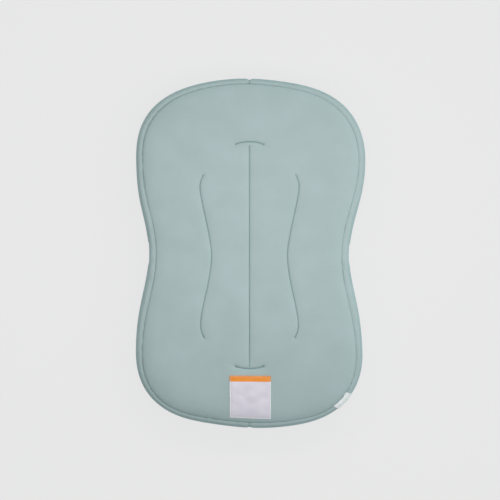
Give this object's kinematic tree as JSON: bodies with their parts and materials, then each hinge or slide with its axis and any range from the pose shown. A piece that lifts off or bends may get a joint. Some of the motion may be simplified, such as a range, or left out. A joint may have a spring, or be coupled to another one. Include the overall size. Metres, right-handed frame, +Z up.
{
  "type": "infant lounger",
  "caption": "Padded hourglass lounger lying face down: flat stitched base panel on top, stuffed ring below with a recessed cloth sling.",
  "frame": {"origin": "on the floor, under the middle of the lounger as it lies face down on the crown of its padded ring", "axes": "+Z up, out of the flat base panel; +Y towards the head end; +X to the right, seen from above"},
  "size_m": [0.483, 0.7368, 0.1213],
  "materials": {
    "base_fabric": "smooth sage green cotton knit, padded",
    "cover_fabric": "smooth sage green cotton knit",
    "sling_fabric": "smooth sage green cotton knit",
    "fibre_fill": "loose white polyester fibre",
    "sewing_thread": "matt green sewing thread",
    "patch_cloth": "white satin ribbon with a plain orange band",
    "tag_cloth": "white satin ribbon"
  },
  "bodies": {
    "root": {"base_panel": "base_fabric", "bolster_cover_right": "cover_fabric", "bolster_cover_left": "cover_fabric", "sling_panel_right": "sling_fabric", "sling_panel_left": "sling_fabric", "bolster_fill": "fibre_fill", "rim_seam": "sewing_thread", "sling_seam": "sewing_thread", "head_join_seam": "sewing_thread", "foot_join_seam": "sewing_thread", "centre_stitch_row": "sewing_thread", "head_stitch_row": "sewing_thread", "foot_stitch_row": "sewing_thread", "right_stitch_row": "sewing_thread", "left_stitch_row": "sewing_thread", "foot_patch": "patch_cloth", "side_tag": "tag_cloth"}
  },
  "joints": []
}
